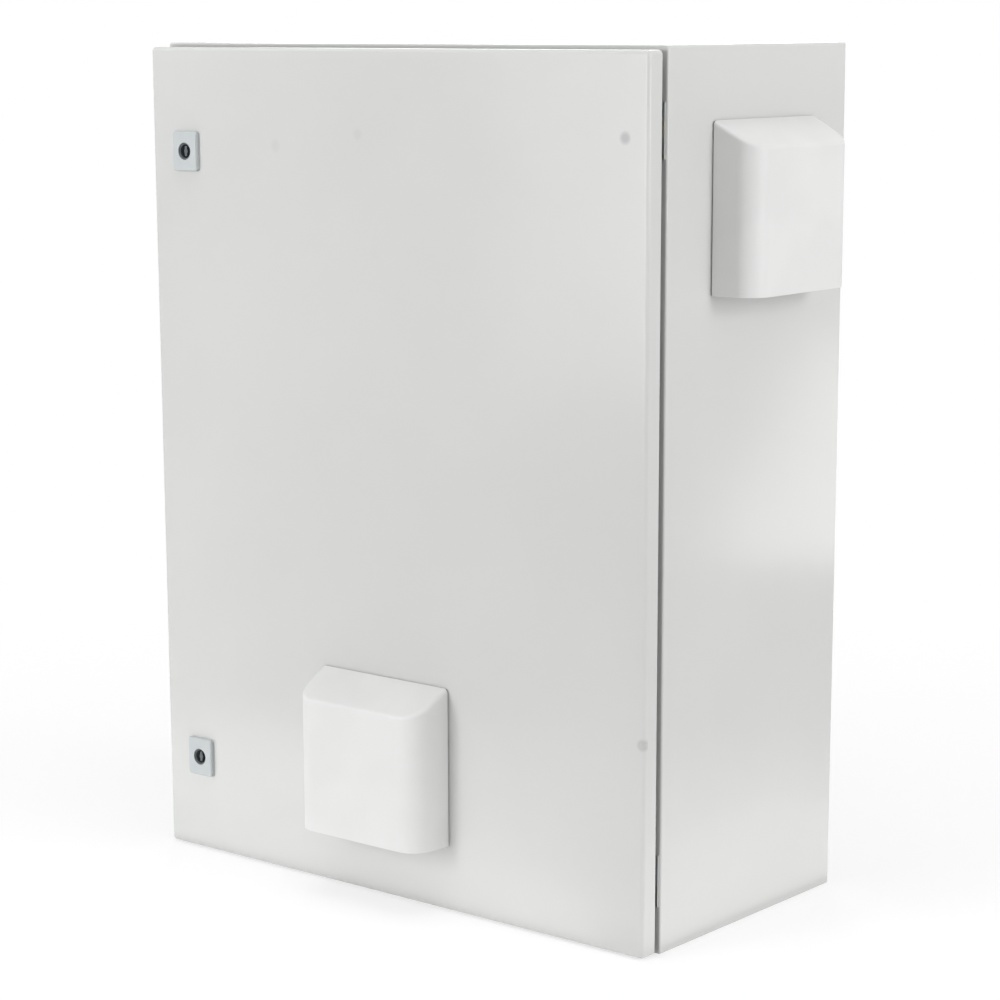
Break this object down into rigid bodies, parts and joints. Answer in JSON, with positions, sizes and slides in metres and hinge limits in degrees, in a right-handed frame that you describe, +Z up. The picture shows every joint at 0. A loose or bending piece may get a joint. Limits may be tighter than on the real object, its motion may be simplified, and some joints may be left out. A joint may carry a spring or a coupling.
{
  "type": "roadside utility cabinet",
  "caption": "Upright grey sheet-steel cabinet with a side-hinged locking door, rain-hooded air vents on door and side, an inner mounting plate and a gland plate in its floor.",
  "frame": {"origin": "middle of the underside: half-way across the width, and half-way between the wall face and the door face", "axes": "+X to the right of someone who faces the door, +Y from the door to the wall, +Z up"},
  "size_m": [0.645, 0.345, 0.8],
  "materials": {
    "case_paint": "satin light-grey powder coat",
    "hood_plastic": "moulded off-white plastic",
    "frame_plastic": "moulded grey plastic",
    "zinc": "bright zinc plate",
    "galvanised": "galvanised sheet",
    "lock_plating": "bluish bright plating",
    "lock_core": "black cast insert",
    "foam_seal": "foamed dark grey seal",
    "black_seal": "black foam strip",
    "filter_mat": "white fibre mat"
  },
  "bodies": {
    "case": {"body_shell": "case_paint", "mounting_plate": "galvanised", "mounting_plate_studs": "zinc", "mounting_plate_spacers": "zinc", "mounting_plate_nuts": "zinc", "gland_plate": "galvanised", "gland_plate_seal": "black_seal", "gland_plate_studs": "zinc", "gland_plate_nuts": "zinc", "body_earth_stud": "zinc", "body_earth_nut": "zinc", "upper_hinge_bracket": "zinc", "lower_hinge_bracket": "zinc", "upper_hinge_pin": "zinc", "lower_hinge_pin": "zinc", "hinge_screws": "zinc", "hinge_nuts": "zinc", "side_vent_hood": "hood_plastic", "side_vent_seal": "black_seal", "side_vent_frame": "frame_plastic", "side_vent_filter": "filter_mat", "side_vent_screws": "zinc"},
    "door": {"door_panel": "case_paint", "door_seal": "foam_seal", "door_left_rail": "galvanised", "door_right_rail": "galvanised", "upper_hinge_leaf": "zinc", "lower_hinge_leaf": "zinc", "door_vent_hood": "hood_plastic", "door_vent_seal": "black_seal", "door_vent_frame": "frame_plastic", "door_vent_filter": "filter_mat", "door_vent_screws": "zinc", "upper_lock_housing": "lock_plating", "lower_lock_housing": "lock_plating", "upper_lock_nut": "zinc", "lower_lock_nut": "zinc", "door_earth_stud": "zinc", "door_earth_nut": "zinc"},
    "upper_lock": {"upper_lock_core": "lock_core", "upper_lock_cam": "zinc", "upper_lock_cam_screw": "zinc"},
    "lower_lock": {"lower_lock_core": "lock_core", "lower_lock_cam": "zinc", "lower_lock_cam_screw": "zinc"}
  },
  "joints": [
    {"name": "door_hinge", "type": "hinge", "parent": "case", "child": "door", "pos_m": [0.294, -0.136, 0.4], "axis": [0, 0, 1], "range_deg": [0, 120]},
    {"name": "upper_lock_turn", "type": "hinge", "parent": "door", "child": "upper_lock", "pos_m": [-0.252, -0.15, 0.698], "axis": [0, 1, 0], "range_deg": [0, 90]},
    {"name": "lower_lock_turn", "type": "hinge", "parent": "door", "child": "lower_lock", "pos_m": [-0.252, -0.15, 0.097], "axis": [0, 1, 0], "range_deg": [0, 90]}
  ]
}
